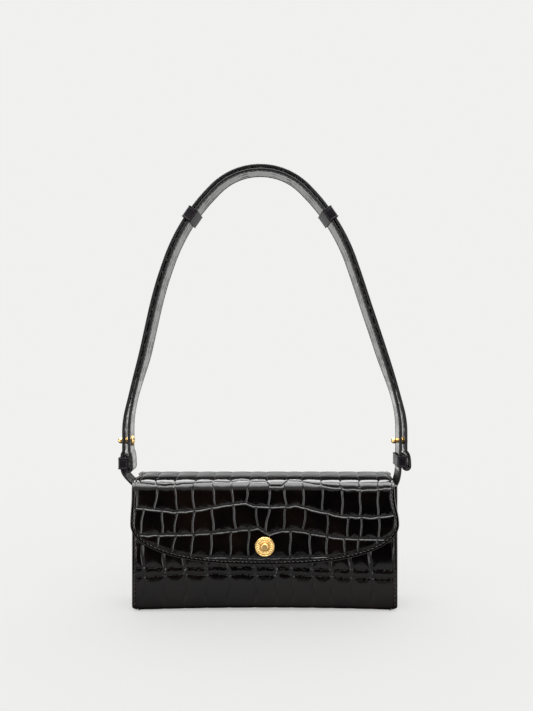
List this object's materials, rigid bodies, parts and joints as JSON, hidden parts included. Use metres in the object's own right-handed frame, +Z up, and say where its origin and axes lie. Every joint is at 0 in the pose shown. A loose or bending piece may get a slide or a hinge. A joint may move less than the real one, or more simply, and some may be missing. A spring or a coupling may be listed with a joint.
{
  "type": "crossbody wallet",
  "caption": "Slim flap wallet in scale-embossed patent leather with a gold snap and a two-layer shoulder strap held by ball studs and keepers.",
  "frame": {"origin": "centre of the base's flat underside", "axes": "+X to the viewer's right, -Y towards the front with the flap, +Z up"},
  "size_m": [0.2222, 0.0414, 0.3331],
  "materials": {
    "patent_leather": "gloss",
    "strap_leather": "semi-gloss",
    "lining": "matt",
    "pocket_leather": "satin",
    "gold": "polished",
    "nickel": "polished",
    "zip_tape": "matt"
  },
  "bodies": {
    "body": {"base_panel": "patent_leather", "front_panel": "patent_leather", "back_panel": "patent_leather", "gusset_left": "patent_leather", "gusset_right": "patent_leather", "front_lining": "lining", "back_lining": "lining", "base_lining": "lining", "divider_pouch": "pocket_leather", "zip_tape_front": "zip_tape", "zip_tape_back": "zip_tape", "zip_teeth_front": "nickel", "zip_teeth_back": "nickel", "zip_stop_left": "nickel", "zip_stop_right": "nickel", "card_pocket_rear": "pocket_leather", "card_pocket_middle": "pocket_leather", "card_pocket_front": "pocket_leather", "snap_post": "gold", "snap_post_washer": "nickel", "strap_rivet_left": "gold", "strap_rivet_right": "gold", "rivet_washer_left": "gold", "rivet_washer_right": "gold"},
    "flap_top": {"flap_top": "patent_leather", "flap_top_lining": "lining"},
    "flap_front": {"flap_front": "patent_leather", "flap_front_lining": "lining", "snap_cap": "gold", "snap_socket": "nickel"},
    "strap": {"strap_outer": "strap_leather", "strap_inner": "strap_leather", "lower_keeper_left": "strap_leather", "lower_keeper_right": "strap_leather", "stud_base_left": "gold", "stud_base_right": "gold", "stud_collar_left": "gold", "stud_collar_right": "gold", "stud_ball_left": "gold", "stud_ball_right": "gold"},
    "upper_keeper_left": {"upper_keeper_left": "strap_leather"},
    "upper_keeper_right": {"upper_keeper_right": "strap_leather"},
    "zip_slider": {"zip_slider": "nickel"},
    "zip_pull": {"zip_pull": "nickel"}
  },
  "joints": [
    {"name": "flap_top_hinge", "type": "hinge", "parent": "body", "child": "flap_top", "pos_m": [0, 0.0175, 0.095], "axis": [-1, 0, 0], "range_deg": [0, 180]},
    {"name": "flap_fold", "type": "hinge", "parent": "flap_top", "child": "flap_front", "pos_m": [0, -0.01974, 0.09624], "axis": [-1, 0, 0], "range_deg": [0, 90]},
    {"name": "strap_swing", "type": "hinge", "parent": "body", "child": "strap", "pos_m": [0, 0, 0.082], "axis": [1, 0, 0], "range_deg": [-90, 90]},
    {"name": "upper_keeper_left_slide", "type": "hinge", "parent": "strap", "child": "upper_keeper_left", "pos_m": [0.06381, 0, 0.21233], "axis": [0, 1, 0], "range_deg": [-11, 8]},
    {"name": "upper_keeper_right_slide", "type": "hinge", "parent": "strap", "child": "upper_keeper_right", "pos_m": [-0.07081, 0, 0.21233], "axis": [0, -1, 0], "range_deg": [-11, 8]},
    {"name": "zip_slide", "type": "slide", "parent": "body", "child": "zip_slider", "axis": [1, 0, 0], "range_m": [0, 0.132]},
    {"name": "zip_pull_swing", "type": "hinge", "parent": "zip_slider", "child": "zip_pull", "pos_m": [-0.066, 0, 0.0686], "axis": [0, -1, 0], "range_deg": [0, 180]}
  ]
}
